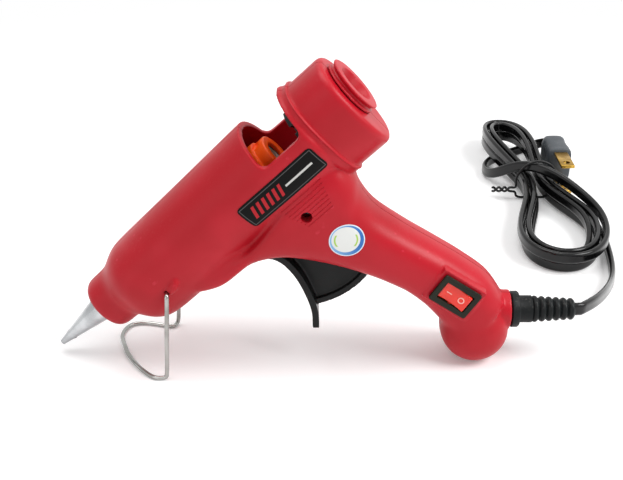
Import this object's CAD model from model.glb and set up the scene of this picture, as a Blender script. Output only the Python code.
import sys
import logging
import math
from dataclasses import dataclass
from enum import Enum
from typing import Callable, Iterable, Mapping, Optional, Sequence, Union

import bmesh
import bpy
from mathutils import Matrix, Vector
from mathutils.bvhtree import BVHTree


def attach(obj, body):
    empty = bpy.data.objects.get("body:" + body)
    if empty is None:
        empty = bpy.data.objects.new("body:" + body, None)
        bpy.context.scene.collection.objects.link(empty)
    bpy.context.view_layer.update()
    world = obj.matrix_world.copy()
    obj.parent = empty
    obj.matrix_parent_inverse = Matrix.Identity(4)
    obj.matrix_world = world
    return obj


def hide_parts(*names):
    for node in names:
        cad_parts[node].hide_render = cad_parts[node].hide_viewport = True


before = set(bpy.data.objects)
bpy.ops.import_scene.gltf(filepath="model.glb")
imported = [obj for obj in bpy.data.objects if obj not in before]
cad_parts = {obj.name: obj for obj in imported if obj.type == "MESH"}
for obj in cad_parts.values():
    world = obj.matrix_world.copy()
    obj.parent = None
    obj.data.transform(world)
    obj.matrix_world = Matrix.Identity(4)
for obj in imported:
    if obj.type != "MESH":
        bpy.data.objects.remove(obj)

LOG = logging.getLogger("applicator")
MM = 0.001
FIT = 0.3
WORLD = Matrix.Identity(4)

Row = Sequence[float]
Socket = bpy.types.NodeSocket
Sockets = Mapping[str, Socket]
Input = Union[float, Row, Socket]


class Body(Enum):
    """Bodies of the frame that pieces ride on."""

    GUN = "gun"
    TRIGGER = "trigger_lever"
    CARRIAGE = "feed_carriage"
    STAND = "stand"
    ROCKER = "rocker"


class Slot(Enum):
    """Material slots of the record."""

    SHELL = "shell_plastic"
    NOZZLE = "nozzle_metal"
    CAST = "cast_metal"
    FILM = "insulating_film"
    BRASS = "contact_brass"
    CERAMIC = "heater_ceramic"
    SILICONE = "silicone"
    SPRING = "spring_steel"
    WIRE = "stand_wire"
    CARRIAGE = "carriage_plastic"
    BLACK = "black_plastic"
    ROCKER = "rocker_plastic"
    SOFT = "soft_black"
    SHEATH = "lead_sheath"
    PLUG = "plug_plastic"
    TIE = "tie_sheath"
    BROWN = "core_brown"
    BLUE = "core_blue"


class Join(Enum):
    """Ways to put two solids together."""

    UNION = "UNION"
    CUT = "DIFFERENCE"
    COMMON = "INTERSECT"


# ---- Shapes


class Form:
    """A closed solid in the making, in millimetres, in the frame of its sub-assembly."""

    def __init__(self, name: str, points: Iterable[Vector], faces: Iterable[Sequence[int]]) -> None:
        """Makes the mesh, merges equal points and turns its faces outward.

        Args:
            name: Name of the object.
            points: Corners of the solid.
            faces: Faces by number of point.
        """
        mesh = bpy.data.meshes.new(name)
        mesh.from_pydata([tuple(p) for p in points], [], [tuple(f) for f in faces])
        build = bmesh.new()
        build.from_mesh(mesh)
        bmesh.ops.remove_doubles(build, verts=build.verts, dist=1e-4)
        bmesh.ops.recalc_face_normals(build, faces=build.faces)
        build.to_mesh(mesh)
        build.free()
        self.object = bpy.data.objects.new(name, mesh)
        bpy.context.scene.collection.objects.link(self.object)

    def modified(self, kind: str, **settings: object) -> "Form":
        """Replaces the mesh by what one modifier makes of it.

        Args:
            kind: Type of the modifier.
            settings: Its properties.

        Returns:
            The form itself.
        """
        modifier = self.object.modifiers.new(kind, kind)
        for name, value in settings.items():
            setattr(modifier, name, value)
        graph = bpy.context.evaluated_depsgraph_get()
        made = bpy.data.meshes.new_from_object(self.object.evaluated_get(graph))
        old = self.object.data
        self.object.modifiers.clear()
        self.object.data = made
        bpy.data.meshes.remove(old)
        return self

    def moved(self, matrix: Matrix) -> "Form":
        """Moves the solid's points.

        Args:
            matrix: What the points are multiplied by.

        Returns:
            The form itself.
        """
        self.object.data.transform(matrix)
        return self

    def joined(self, other: "Form", how: Join = Join.UNION) -> "Form":
        """Unites the solid with another one, cuts it or keeps what they share.

        Args:
            other: The other solid, which is used up.
            how: The kind of join.

        Returns:
            The form itself.
        """
        self.modified("BOOLEAN", object=other.object, operation=how.value, solver="MANIFOLD")
        other.drop()
        return self

    def cut(self, *others: "Form") -> "Form":
        """Cuts each of the others away.

        Args:
            others: Solids, which are used up.

        Returns:
            The form itself.
        """
        for other in others:
            self.joined(other, Join.CUT)
        return self

    def softened(self, voxel: float, rounds: int) -> "Form":
        """Remakes the skin as fine even faces and smooths it, which rounds edges and corners.

        Args:
            voxel: Size of the new faces in millimetres.
            rounds: How often the skin is smoothed.

        Returns:
            The form itself.
        """
        self.modified("REMESH", mode="VOXEL", voxel_size=voxel)
        return self.modified("SMOOTH", factor=0.5, iterations=rounds)

    def bevelled(self, width: float, steps: int = 2, sharp: float = 35.0) -> "Form":
        """Rounds the sharp edges.

        Args:
            width: Width of the rounding in millimetres.
            steps: Faces across the rounding.
            sharp: Degrees from which an edge is rounded.

        Returns:
            The form itself.
        """
        limit = {"limit_method": "ANGLE", "angle_limit": math.radians(sharp)}
        return self.modified("BEVEL", width=width, segments=steps, **limit)

    def copied(self, name: str) -> "Form":
        """A second form with the same shape, under a name of its own.

        Args:
            name: Its name.

        Returns:
            The second form.
        """
        twin = Form(name, [], [])
        twin.object.data = self.object.data.copy()
        return twin

    def drop(self) -> None:
        """Takes the form out of the scene."""
        mesh = self.object.data
        bpy.data.objects.remove(self.object)
        bpy.data.meshes.remove(mesh)

    def skin(self) -> BVHTree:
        """The solid's surface, for finding places on it."""
        mesh = self.object.data
        return BVHTree.FromPolygons([v.co for v in mesh.vertices], [p.vertices for p in mesh.polygons])


def united(forms: Sequence[Form]) -> Form:
    """All the forms as one solid, under the name of the first.

    Args:
        forms: The solids, of which the first is kept.

    Returns:
        The united solid.
    """
    first, *others = forms
    for other in others:
        first.joined(other)
    return first


def squared(value: float, power: float) -> float:
    """A cosine or sine raised so that a rounder or squarer section results."""
    return math.copysign(abs(value) ** (2 / power), value)


def turns(count: int) -> list[float]:
    """Angles evenly round a circle."""
    return [2 * math.pi * i / count for i in range(count)]


def loft(name: str, rings: Sequence[Sequence[Vector]]) -> Form:
    """A skin over a row of closed rings of equal count, with flat ends.

    Args:
        name: Name of the form.
        rings: The rings, from one end to the other.

    Returns:
        The solid.
    """
    count = len(rings[0])
    last = (len(rings) - 1) * count
    faces: list[list[int]] = [list(range(count)), list(range(last, last + count))]
    for r in range(len(rings) - 1):
        for i in range(count):
            a, b = r * count + i, r * count + (i + 1) % count
            faces.append([a, b, b + count, a + count])
    return Form(name, [p for ring in rings for p in ring], faces)


def lathe(name: str, profile: Sequence[Row], sides: int = 72) -> Form:
    """A solid turned about X.

    Args:
        name: Name of the form.
        profile: Radius and place along X, in order round the section.
        sides: Faces round the axis.

    Returns:
        The closed solid, with a bore where the profile doesn't meet the axis.
    """
    rows = list(profile)
    faces = []
    rings = [[Vector((at, r * math.cos(t), r * math.sin(t))) for t in turns(sides)] for r, at in rows]
    last = len(rows) if rows[0][0] > 0 else len(rows) - 1
    for r in range(last):
        for i in range(sides):
            a, b = r * sides + i, r * sides + (i + 1) % sides
            c, d = [((r + 1) % len(rows)) * sides + k for k in ((i + 1) % sides, i)]
            on_axis = rows[r][0] == 0, rows[(r + 1) % len(rows)][0] == 0
            if on_axis == (False, False):
                faces.append([a, b, c, d])
            elif on_axis == (True, False):
                faces.append([a, c, d])
            elif on_axis == (False, True):
                faces.append([a, b, c])
    return Form(name, [p for ring in rings for p in ring], faces)


def core(name: str, radius: float, start: float, end: float, sides: int = 56) -> Form:
    """A round bar along X."""
    return lathe(name, [(0, start), (radius, start), (radius, end), (0, end)], sides)


def crosswise(at: float, up: float) -> Matrix:
    """Turns what lies along X across the gun, at a place of the side view."""
    return Matrix.Translation((at, 0, up)) @ Matrix.Rotation(math.pi / 2, 4, "Z")


def rod(name: str, radius: float, across: Row, at: float, up: float, sides: int = 40) -> Form:
    """A round bar across the gun, between two places on Y.

    Args:
        name: Name of the form.
        radius: Its radius.
        across: Its two ends, in either order.
        at: Place along X.
        up: Place along Z.
        sides: Faces round it.

    Returns:
        The solid.
    """
    low, high = sorted(across)
    return core(name, radius, low, high, sides).moved(crosswise(at, up))


def plate(name: str, outline: Sequence[Row], low: float, high: float) -> Form:
    """A side outline in X and Z with a thickness across Y."""
    return loft(name, [[Vector((x, y, z)) for x, z in outline] for y in (low, high)])


def cuboid(name: str, along: Row, across: Row, upward: Row) -> Form:
    """A box from its limits on X, Y and Z."""
    (x0, x1), (z0, z1) = sorted(along), sorted(upward)
    return plate(name, [(x0, z0), (x1, z0), (x1, z1), (x0, z1)], *sorted(across))


def rounded(outline: Sequence[Row], radius: float, steps: int = 6) -> list[tuple[float, float]]:
    """A flat outline with each corner rounded.

    Args:
        outline: Corners in order.
        radius: Size of the rounding.
        steps: Points on each corner.

    Returns:
        The points of the rounded outline.
    """
    made = []
    for i, corner in enumerate(outline):
        here = Vector(corner)
        before, after = Vector(outline[i - 1]) - here, Vector(outline[(i + 1) % len(outline)]) - here
        reach = min(radius, before.length / 2, after.length / 2)
        start, end = here + before.normalized() * reach, here + after.normalized() * reach
        for k in range(steps + 1):
            t = k / steps
            made.append(tuple((1 - t) ** 2 * start + 2 * t * (1 - t) * here + t * t * end))
    return made


def curve_point(points: Sequence[Vector], share: float, closed: bool = False) -> Vector:
    """A place on the smooth curve through points, by its share of their row.

    Args:
        points: Points that the curve goes through.
        share: From 0 at the first point to 1 at the end.
        closed: Whether the curve comes back to its first point.

    Returns:
        The place on the curve.
    """
    count = len(points)
    place = share * (count if closed else count - 1)
    i = min(int(place), count - 1 if closed else count - 2)
    w = place - i
    if closed:
        p0, p1, p2, p3 = [points[(i + k) % count] for k in (-1, 0, 1, 2)]
    else:
        p1, p2 = points[i], points[i + 1]
        p0 = points[i - 1] if i > 0 else 2 * p1 - p2
        p3 = points[i + 2] if i + 2 < count else 2 * p2 - p1
    d0, d1, d2 = [max((b - a).length ** 0.5, 1e-4) for a, b in ((p0, p1), (p1, p2), (p2, p3))]
    start = ((p1 - p0) / d0 - (p2 - p0) / (d0 + d1) + (p2 - p1) / d1) * d1
    end = ((p2 - p1) / d1 - (p3 - p1) / (d1 + d2) + (p3 - p2) / d2) * d1
    return (
        p1 + start * w + (3 * (p2 - p1) - 2 * start - end) * w**2 + (2 * (p1 - p2) + start + end) * w**3
    )


def smooth_line(points: Sequence[Row], per_span: int) -> list[Vector]:
    """Points along the smooth open curve through a row of points.

    Args:
        points: Points that it goes through.
        per_span: Steps between two of them.

    Returns:
        The points along it.
    """
    through = [Vector(p) for p in points]
    steps = per_span * (len(through) - 1)
    return [curve_point(through, i / steps) for i in range(steps + 1)]


def sweep(name: str, line: Sequence[Vector], section: Sequence[Row], upright: bool = False) -> Form:
    """A section carried along a line.

    Args:
        name: Name of the form.
        line: Middle of the bar.
        section: Points across and up from the middle.
        upright: Whether the section stays upright, or else turns as little as it can.

    Returns:
        The solid.
    """
    rings = []
    across = None
    for i, point in enumerate(line):
        along = (line[min(i + 1, len(line) - 1)] - line[max(i - 1, 0)]).normalized()
        if upright or across is None:
            lead = Vector((0, 0, 1)) if upright or abs(along.z) < 0.8 else Vector((1, 0, 0))
            across = along.cross(lead).normalized()
        else:
            across = (across - along * across.dot(along)).normalized()
        up = across.cross(along)
        rings.append([point + across * a + up * b for a, b in section])
    return loft(name, rings)


def disc(radius: float, sides: int) -> list[tuple[float, float]]:
    """Points round a circle."""
    return [(radius * math.cos(t), radius * math.sin(t)) for t in turns(sides)]


def eased(table: Sequence[Row], x: float) -> list[float]:
    """Values of a table at x, on a smooth curve that doesn't overshoot between its rows.

    Args:
        table: Rows of x and the values there, in order of x.
        x: Where to read it.

    Returns:
        The values.
    """

    def slope(k: int, column: int) -> float:
        """Slope of one column at row k.

        Args:
            k: Number of the row.
            column: Number of the column.

        Returns:
            The slope.
        """
        steps = []
        for a in (k - 1, k):
            if 0 <= a < len(table) - 1:
                rise, run = table[a + 1][column] - table[a][column], table[a + 1][0] - table[a][0]
                steps.append(rise / run)
        if len(steps) < 2:
            return steps[0]
        return 0.0 if steps[0] * steps[1] <= 0 else 2 * steps[0] * steps[1] / (steps[0] + steps[1])

    i = max(k for k in range(len(table) - 1) if k == 0 or table[k][0] <= x)
    low, high = table[i], table[i + 1]
    span = high[0] - low[0]
    w = (x - low[0]) / span
    values = []
    for column in range(1, len(low)):
        m0, m1 = slope(i, column) * span, slope(i + 1, column) * span
        values.append(
            (2 * w**3 - 3 * w**2 + 1) * low[column]
            + (w**3 - 2 * w**2 + w) * m0
            + (3 * w**2 - 2 * w**3) * high[column]
            + (w**3 - w**2) * m1
        )
    return values


# ---- Finishes


def linear(colour: str) -> tuple[float, float, float, float]:
    """A colour written as six hex digits, in the renderer's own values.

    Args:
        colour: The six digits.

    Returns:
        Red, green, blue and alpha.
    """
    values = [int(colour[i : i + 2], 16) / 255 for i in (0, 2, 4)]
    red, green, blue = [v / 12.92 if v <= 0.04045 else ((v + 0.055) / 1.055) ** 2.4 for v in values]
    return red, green, blue, 1.0


class Graph:
    """Writes the nodes of a material or of a node group."""

    def __init__(self, tree: bpy.types.NodeTree) -> None:
        """Takes the tree to write to."""
        self.tree = tree

    def add(
        self, kind: str, inputs: Optional[Mapping[Union[str, int], Input]] = None, **settings: object
    ) -> bpy.types.Node:
        """Adds a node.

        Args:
            kind: Type of node, without the word that all of them start with.
            inputs: Value of an input, or the socket that feeds it, by name or number.
            settings: Properties of the node.

        Returns:
            The node.
        """
        node = self.tree.nodes.new("ShaderNode" + kind)
        for name, value in settings.items():
            setattr(node, name, value)
        for key, value in (inputs or {}).items():
            if isinstance(value, Socket):
                self.tree.links.new(value, node.inputs[key])
            else:
                node.inputs[key].default_value = value
        return node

    def sum(self, operation: str, a: Input, b: Input = 0.0) -> Socket:
        """Result of a sum of two values."""
        return self.add("Math", {0: a, 1: b}, operation=operation).outputs[0]

    def product(self, *values: Input) -> Socket:
        """Product of two or more values.

        Args:
            values: What is multiplied, in order.

        Returns:
            The product.
        """
        result, *others = values
        for value in others:
            result = self.sum("MULTIPLY", result, value)
        return result

    def group(self, tree: bpy.types.NodeTree, **inputs: float) -> Sockets:
        """Adds a node group with values for its inputs, and returns its outputs."""
        return self.add("Group", inputs, node_tree=tree).outputs

    def bump(self, height: Input, strength: float, relief: float) -> Socket:
        """Normal of a relief whose depth is given in millimetres."""
        inputs = {"Strength": strength, "Distance": relief * MM, "Height": height}
        return self.add("Bump", inputs).outputs[0]

    def ramp(self, value: Input, low: float, high: float, to: Row = (0.0, 1.0)) -> Socket:
        """A value taken smoothly from one range to another."""
        names = {"Value": value, "From Min": low, "From Max": high, "To Min": to[0], "To Max": to[1]}
        return self.add("MapRange", names, interpolation_type="SMOOTHSTEP").outputs[0]

    def mix(self, share: Input, a: Input, b: Input) -> Socket:
        """Two colours mixed by a share."""
        return self.add("Mix", {0: share, 6: a, 7: b}, data_type="RGBA").outputs[2]


def emptied(owner: Union[bpy.types.Material, bpy.types.World]) -> Graph:
    """Clears the nodes of a material or a world, and returns what writes new ones."""
    owner.use_nodes = True
    owner.node_tree.nodes.clear()
    return Graph(owner.node_tree)


class Effects:
    """Node groups that several finishes share, each made once."""

    def __init__(self) -> None:
        """Makes the groups."""
        sizes = {"Grain": 0.6, "Patch": 14.0}
        self.grain = self.build("Moulded Grain", sizes, ("Height", "Tone"), self.grain_nodes)
        sizes = {"Amount": 0.5, "Patch": 2.5}
        self.wear = self.build("Rubbed Edges", sizes, ("Mask",), self.wear_nodes)
        sizes = {"Spacing": 0.3, "Turn": 0.0}
        self.marks = self.build("Tool Marks", sizes, ("Height",), self.mark_nodes)
        self.dust = self.build("Fine Dust", {"Amount": 0.2, "Speck": 0.8}, ("Mask",), self.dust_nodes)

    @staticmethod
    def build(
        name: str,
        inputs: dict[str, float],
        outputs: Sequence[str],
        write: Callable[[Graph, Sockets, Sockets], None],
    ) -> bpy.types.NodeTree:
        """Makes one group.

        Args:
            name: Name of the group.
            inputs: Its inputs with their usual values.
            outputs: Its outputs.
            write: Writes its nodes.

        Returns:
            The group.
        """
        tree = bpy.data.node_groups.new(name, "ShaderNodeTree")
        for key, value in inputs.items():
            socket = tree.interface.new_socket(key, in_out="INPUT", socket_type="NodeSocketFloat")
            socket.default_value = value
        for key in outputs:
            tree.interface.new_socket(key, in_out="OUTPUT", socket_type="NodeSocketFloat")
        entry, leave = tree.nodes.new("NodeGroupInput"), tree.nodes.new("NodeGroupOutput")
        write(Graph(tree), entry.outputs, leave.inputs)
        return tree

    @staticmethod
    def noise(graph: Graph, size: Input, detail: float) -> Socket:
        """Noise on the object's own places, with patches of a size in millimetres.

        Args:
            graph: Where it writes.
            size: Size of the patches.
            detail: How fine the noise goes.

        Returns:
            The noise, from 0 to 1.
        """
        place = graph.add("TexCoord").outputs["Object"]
        scale = graph.sum("DIVIDE", 1 / MM, size)
        return graph.add("TexNoise", {"Vector": place, "Scale": scale, "Detail": detail}).outputs["Fac"]

    @classmethod
    def grain_nodes(cls, graph: Graph, entry: Sockets, leave: Sockets) -> None:
        """Fine grain of a mould as a height, and slow changes of tone.

        Args:
            graph: Where it writes.
            entry: Inputs of the group.
            leave: Outputs of the group.
        """
        link = graph.tree.links.new
        link(cls.noise(graph, entry["Grain"], 2.0), leave["Height"])
        link(graph.ramp(cls.noise(graph, entry["Patch"], 3.0), 0.35, 0.65), leave["Tone"])

    @classmethod
    def wear_nodes(cls, graph: Graph, entry: Sockets, leave: Sockets) -> None:
        """Edges that hands have rubbed, broken up in patches.

        Args:
            graph: Where it writes.
            entry: Inputs of the group.
            leave: Outputs of the group.
        """
        point = graph.add("NewGeometry").outputs["Pointiness"]
        edge = graph.ramp(point, 0.53, 0.61)
        patch = graph.ramp(cls.noise(graph, entry["Patch"], 4.0), 0.3, 0.62)
        graph.tree.links.new(graph.product(edge, patch, entry["Amount"]), leave["Mask"])

    @staticmethod
    def mark_nodes(graph: Graph, entry: Sockets, leave: Sockets) -> None:
        """Rings that a lathe leaves, square to the line that the barrel takes.

        Args:
            graph: Where it writes.
            entry: Inputs of the group.
            leave: Outputs of the group.
        """
        place = graph.add("TexCoord").outputs["Object"]
        turn = {"Vector": place, "Angle": entry["Turn"]}
        turned = graph.add("VectorRotate", turn, rotation_type="Y_AXIS")
        along = graph.add("SeparateXYZ", {0: turned.outputs[0]}).outputs[0]
        steps = graph.product(along, graph.sum("DIVIDE", 1 / MM, entry["Spacing"]))
        rings = graph.add("TexNoise", {"W": steps, "Scale": 1.0, "Detail": 3.0}, noise_dimensions="1D")
        graph.tree.links.new(rings.outputs["Fac"], leave["Height"])

    @classmethod
    def dust_nodes(cls, graph: Graph, entry: Sockets, leave: Sockets) -> None:
        """Specks that settle on what faces up.

        Args:
            graph: Where it writes.
            entry: Inputs of the group.
            leave: Outputs of the group.
        """
        normal = graph.add("NewGeometry").outputs["Normal"]
        upward = graph.ramp(graph.add("SeparateXYZ", {0: normal}).outputs[2], 0.2, 0.95)
        specks = graph.ramp(cls.noise(graph, entry["Speck"], 5.0), 0.52, 0.75)
        graph.tree.links.new(graph.product(upward, specks, entry["Amount"]), leave["Mask"])


@dataclass(frozen=True)
class Moulded:
    """Finish of moulded plastic, rubber or ceramic: tone, grain, rubbed edges and a little dust."""

    colour: str
    deep: str
    pale: str
    rough: tuple[float, float] = (0.34, 0.46)
    grain: float = 0.5
    relief: float = 0.012
    patch: float = 16.0
    wear: float = 0.3
    dust: float = 0.08
    coat: float = 0.0
    specular: float = 0.3
    through: float = 0.0
    bump: float = 0.6
    dust_colour: str = "C9C2B8"
    dust_rough: float = 0.3
    coat_rough: float = 0.12
    through_depth: float = 1.2

    def write(self, graph: Graph, effects: Effects) -> dict[str, Input]:
        """Writes the finish's nodes.

        Args:
            graph: Where it writes.
            effects: The groups that finishes share.

        Returns:
            The inputs of its shader.
        """
        grain = graph.group(effects.grain, Grain=self.grain, Patch=self.patch)
        wear = graph.group(effects.wear, Amount=self.wear)
        dust = graph.group(effects.dust, Amount=self.dust)
        tone = graph.mix(grain["Tone"], linear(self.colour), linear(self.deep))
        rubbed = graph.mix(wear["Mask"], tone, linear(self.pale))
        colour = graph.mix(dust["Mask"], rubbed, linear(self.dust_colour))
        shine = graph.ramp(grain["Tone"], 0.0, 1.0, self.rough)
        rough = graph.sum("ADD", shine, graph.product(dust["Mask"], self.dust_rough))
        normal = graph.bump(grain["Height"], self.bump, self.relief)
        values: dict[str, Input] = {"Base Color": colour, "Roughness": rough, "Normal": normal}
        values["Specular IOR Level"] = self.specular
        if self.coat:
            values.update({"Coat Weight": self.coat, "Coat Roughness": self.coat_rough})
        if self.through:
            depth = self.through_depth * MM
            values.update({"Subsurface Weight": self.through, "Subsurface Scale": depth})
        return values


@dataclass(frozen=True)
class Metal:
    """Finish of bare metal: tone, tool marks or drawn grain, and dulled patches."""

    colour: str
    dull: str
    rough: tuple[float, float] = (0.16, 0.34)
    spacing: float = 0.25
    turn: float = 43.3
    relief: float = 0.01
    patch: float = 5.0
    grain: float = 0.4
    bump: float = 0.5

    def write(self, graph: Graph, effects: Effects) -> dict[str, Input]:
        """Writes the finish's nodes.

        Args:
            graph: Where it writes.
            effects: The groups that finishes share.

        Returns:
            The inputs of its shader.
        """
        marks = graph.group(effects.marks, Spacing=self.spacing, Turn=math.radians(self.turn))
        grain = graph.group(effects.grain, Grain=self.spacing, Patch=self.patch)
        colour = graph.mix(grain["Tone"], linear(self.colour), linear(self.dull))
        rough = graph.ramp(grain["Tone"], 0.0, 1.0, self.rough)
        height = graph.sum("ADD", marks["Height"], graph.product(grain["Height"], self.grain))
        normal = graph.bump(height, self.bump, self.relief)
        return {"Base Color": colour, "Roughness": rough, "Metallic": 1.0, "Normal": normal}


@dataclass(frozen=True)
class Printed:
    """Finish of a stuck-on plate or disc, its pattern drawn over places from its middle."""

    ground: str
    pattern: Callable[[Graph, Input, Input, Input], Socket]
    rough: tuple[float, float] = (0.3, 0.4)
    specular: float = 0.1
    bump: float = 0.4
    relief: float = 0.006

    def write(self, graph: Graph, effects: Effects) -> dict[str, Input]:
        """Writes the finish's nodes.

        Args:
            graph: Where it writes.
            effects: The groups that finishes share.

        Returns:
            The inputs of its shader.
        """
        place = graph.add("UVMap", uv_map="place").outputs[0]
        x, y = graph.add("SeparateXYZ", {0: place}).outputs[:2]
        grain = graph.group(effects.grain)
        colour = self.pattern(graph, linear(self.ground), x, y)
        rough = graph.ramp(grain["Tone"], 0.0, 1.0, self.rough)
        normal = graph.bump(grain["Height"], self.bump, self.relief)
        return {
            "Base Color": colour, "Roughness": rough, "Normal": normal,
            "Specular IOR Level": self.specular,
        }


Finish = Union[Moulded, Metal, Printed]


def round_pattern(graph: Graph, ground: Input, x: Input, y: Input) -> Socket:
    """A white disc with a blue rim, thicker at the lower right, and two light green arcs.

    Args:
        graph: Where it writes.
        ground: Colour of the disc.
        x: Place to the right of the middle, in millimetres.
        y: Place above the middle.

    Returns:
        The colour.
    """

    def ring(x0: float, y0: float) -> Socket:
        """Distance from a place."""
        square = [graph.sum("POWER", graph.sum("SUBTRACT", v, c), 2.0) for v, c in ((x, x0), (y, y0))]
        return graph.sum("SQRT", graph.sum("ADD", *square))

    rim = graph.ramp(ring(-0.35, 0.35), 4.62, 4.82)
    edge = graph.ramp(ring(0.0, 0.0), 5.5, 5.62)
    shade = graph.ramp(x, -5.0, 5.0)
    blue = graph.mix(shade, linear("7FB2E0"), linear("2F6DB8"))
    inside = ring(-0.3, 0.25)
    arc = graph.product(graph.ramp(inside, 3.35, 3.5), graph.ramp(inside, 4.05, 3.9))
    level = graph.sum("ABSOLUTE", y)
    arcs = graph.product(arc, graph.ramp(level, 2.3, 1.9))
    green = graph.mix(arcs, ground, linear("A9CF5A"))
    ringed = graph.mix(rim, green, blue)
    return graph.mix(edge, ringed, linear("DCE9F4"))


def plate_pattern(graph: Graph, ground: Input, x: Input, y: Input) -> Socket:
    """A fine grey border line, a run of slanted red bars and one pale rule.

    Args:
        graph: Where it writes.
        ground: Colour of the plate.
        x: Place along the plate from its middle, in millimetres.
        y: Place above the middle.

    Returns:
        The colour.
    """
    wide, high = graph.sum("ABSOLUTE", x), graph.sum("ABSOLUTE", y)
    lean = graph.sum("SUBTRACT", x, graph.product(y, 0.35))
    run = graph.sum("PINGPONG", graph.sum("ADD", lean, 20.0), 1.15)
    bars = graph.product(graph.ramp(run, 0.5, 0.62), graph.ramp(high, 2.3, 2.2))
    left = graph.product(graph.ramp(lean, -13.4, -13.3), graph.ramp(lean, 0.1, 0.0))
    red = graph.product(bars, left)
    rule = graph.product(graph.ramp(lean, 1.6, 1.7), graph.ramp(x, 13.0, 12.9))
    pale = graph.product(rule, graph.ramp(high, 0.42, 0.34))
    line = graph.sum("MAXIMUM", graph.ramp(wide, 15.05, 15.15), graph.ramp(high, 3.62, 3.72))
    inner = graph.product(graph.ramp(wide, 15.4, 15.3), graph.ramp(high, 3.96, 3.88))
    border = graph.product(line, inner)
    bordered = graph.mix(graph.product(border, 0.35), ground, linear("8A8A8A"))
    barred = graph.mix(red, bordered, linear("B3262E"))
    return graph.mix(pale, barred, linear("C8C8C4"))


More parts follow.
